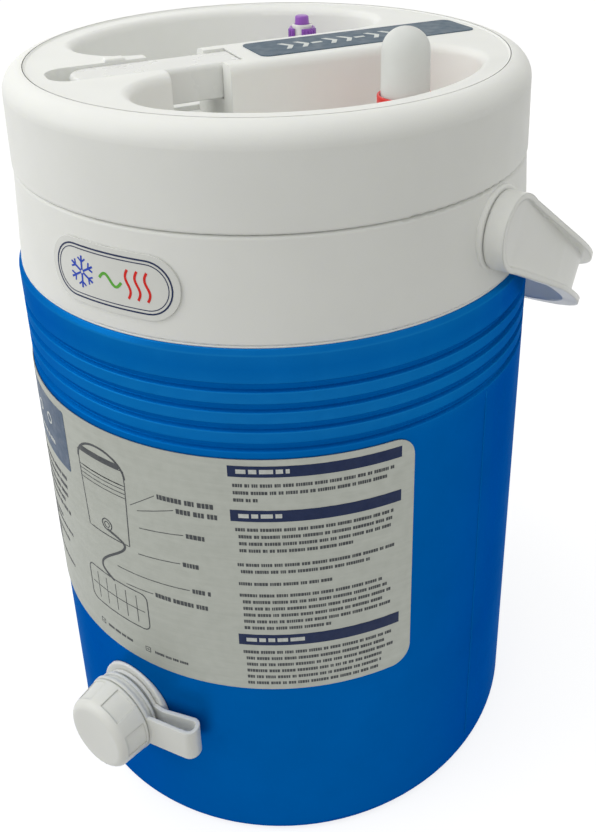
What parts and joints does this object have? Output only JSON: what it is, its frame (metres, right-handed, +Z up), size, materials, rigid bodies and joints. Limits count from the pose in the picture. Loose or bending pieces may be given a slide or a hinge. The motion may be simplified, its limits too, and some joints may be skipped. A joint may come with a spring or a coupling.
{
  "type": "hot cold therapy machine",
  "caption": "Insulated jug of a hot and cold therapy set: screw lid with flip lever, vent and push valve, carrying bail, and capped drain spigot.",
  "frame": {"origin": "on the jug's axis, in the plane that it stands on", "axes": "+Z up along the jug's axis, -Y towards the front with the drain spigot, +X to the right, along the bail's pivot axis"},
  "size_m": [0.2256, 0.2411, 0.3118],
  "materials": {
    "body_blue": "satin",
    "shell_white": "satin",
    "handle_white": "satin",
    "lever_white": "satin",
    "liner_white": "satin",
    "fitting_white": "satin",
    "pin_white": "satin",
    "label": "satin",
    "badge_clear": "gloss",
    "strip_blue_grey": "satin",
    "vent_red": "satin",
    "dome_clear": "matte",
    "valve_purple": "satin",
    "silicone": "matte",
    "steel": "satin",
    "foam": "matte"
  },
  "bodies": {
    "vessel": {"outer_body": "body_blue", "fill_plug": "body_blue", "inner_liner": "liner_white", "foam_insulation": "foam", "collar": "shell_white", "pivot_pin_left": "pin_white", "pivot_pin_right": "pin_white", "front_label": "label", "badge": "badge_clear", "drain_spigot": "fitting_white", "drain_gasket": "silicone", "drain_nut": "fitting_white"},
    "lid_carrier": {"lid_gasket": "silicone"},
    "lid": {"lid_shell": "shell_white", "lid_foam": "foam", "lid_pan": "liner_white", "lid_strip": "strip_blue_grey", "lever_pin": "steel", "vent_base": "vent_red", "vent_seal": "silicone", "vent_nut": "fitting_white", "vent_poppet": "fitting_white", "valve_body": "fitting_white", "valve_seal": "silicone", "valve_nut": "fitting_white", "valve_spring": "steel"},
    "lever": {"flip_lever": "lever_white", "lever_plug": "silicone"},
    "dome": {"vent_dome": "dome_clear"},
    "valve_collar": {"valve_collar": "valve_purple"},
    "valve_button": {"valve_button": "valve_purple"},
    "bail": {"bail_handle": "handle_white"},
    "cap_carrier": {"drain_cap_seal": "silicone", "cap_tether": "fitting_white"},
    "cap": {"drain_cap": "fitting_white"}
  },
  "joints": [
    {"name": "lid_rise", "type": "slide", "parent": "vessel", "child": "lid_carrier", "axis": [0, 0, 1], "range_m": [0, 0.0151]},
    {"name": "lid_turn", "type": "hinge", "parent": "lid_carrier", "child": "lid", "pos_m": [0, 0, 0.2633], "axis": [0, 0, 1], "range_deg": [0, 450]},
    {"name": "lever_flip", "type": "hinge", "parent": "lid", "child": "lever", "pos_m": [-0.00873, -0.01642, 0.293], "axis": [-0.8829, 0.4695, 0], "range_deg": [0, 90]},
    {"name": "dome_pull", "type": "slide", "parent": "lid", "child": "dome", "axis": [0, 0, 1], "range_m": [0, 0.03]},
    {"name": "valve_collar_turn", "type": "hinge", "parent": "lid", "child": "valve_collar", "pos_m": [-0.02578, 0.05482, 0.287], "axis": [0, 0, 1], "range_deg": [0, 90]},
    {"name": "button_press", "type": "slide", "parent": "lid", "child": "valve_button", "axis": [0, 0, -1], "range_m": [0, 0.0018], "stiffness_N_per_m": 400, "springref_m": -0.002, "deforming": ["valve_spring"]},
    {"name": "bail_swing", "type": "hinge", "parent": "vessel", "child": "bail", "pos_m": [0, 0, 0.2467], "axis": [1, 0, 0], "range_deg": [0, 248]},
    {"name": "cap_travel", "type": "slide", "parent": "vessel", "child": "cap_carrier", "axis": [0, -1, 0], "range_m": [0, 0.0081]},
    {"name": "cap_turn", "type": "hinge", "parent": "cap_carrier", "child": "cap", "pos_m": [0, -0.113, 0.0549], "axis": [0, -1, 0], "range_deg": [0, 720]}
  ],
  "couplings": [
    {"joint": "lid_rise", "follows": "lid_turn", "m_per_rad": 0.0019099},
    {"joint": "cap_travel", "follows": "cap_turn", "m_per_rad": 0.00063662}
  ]
}
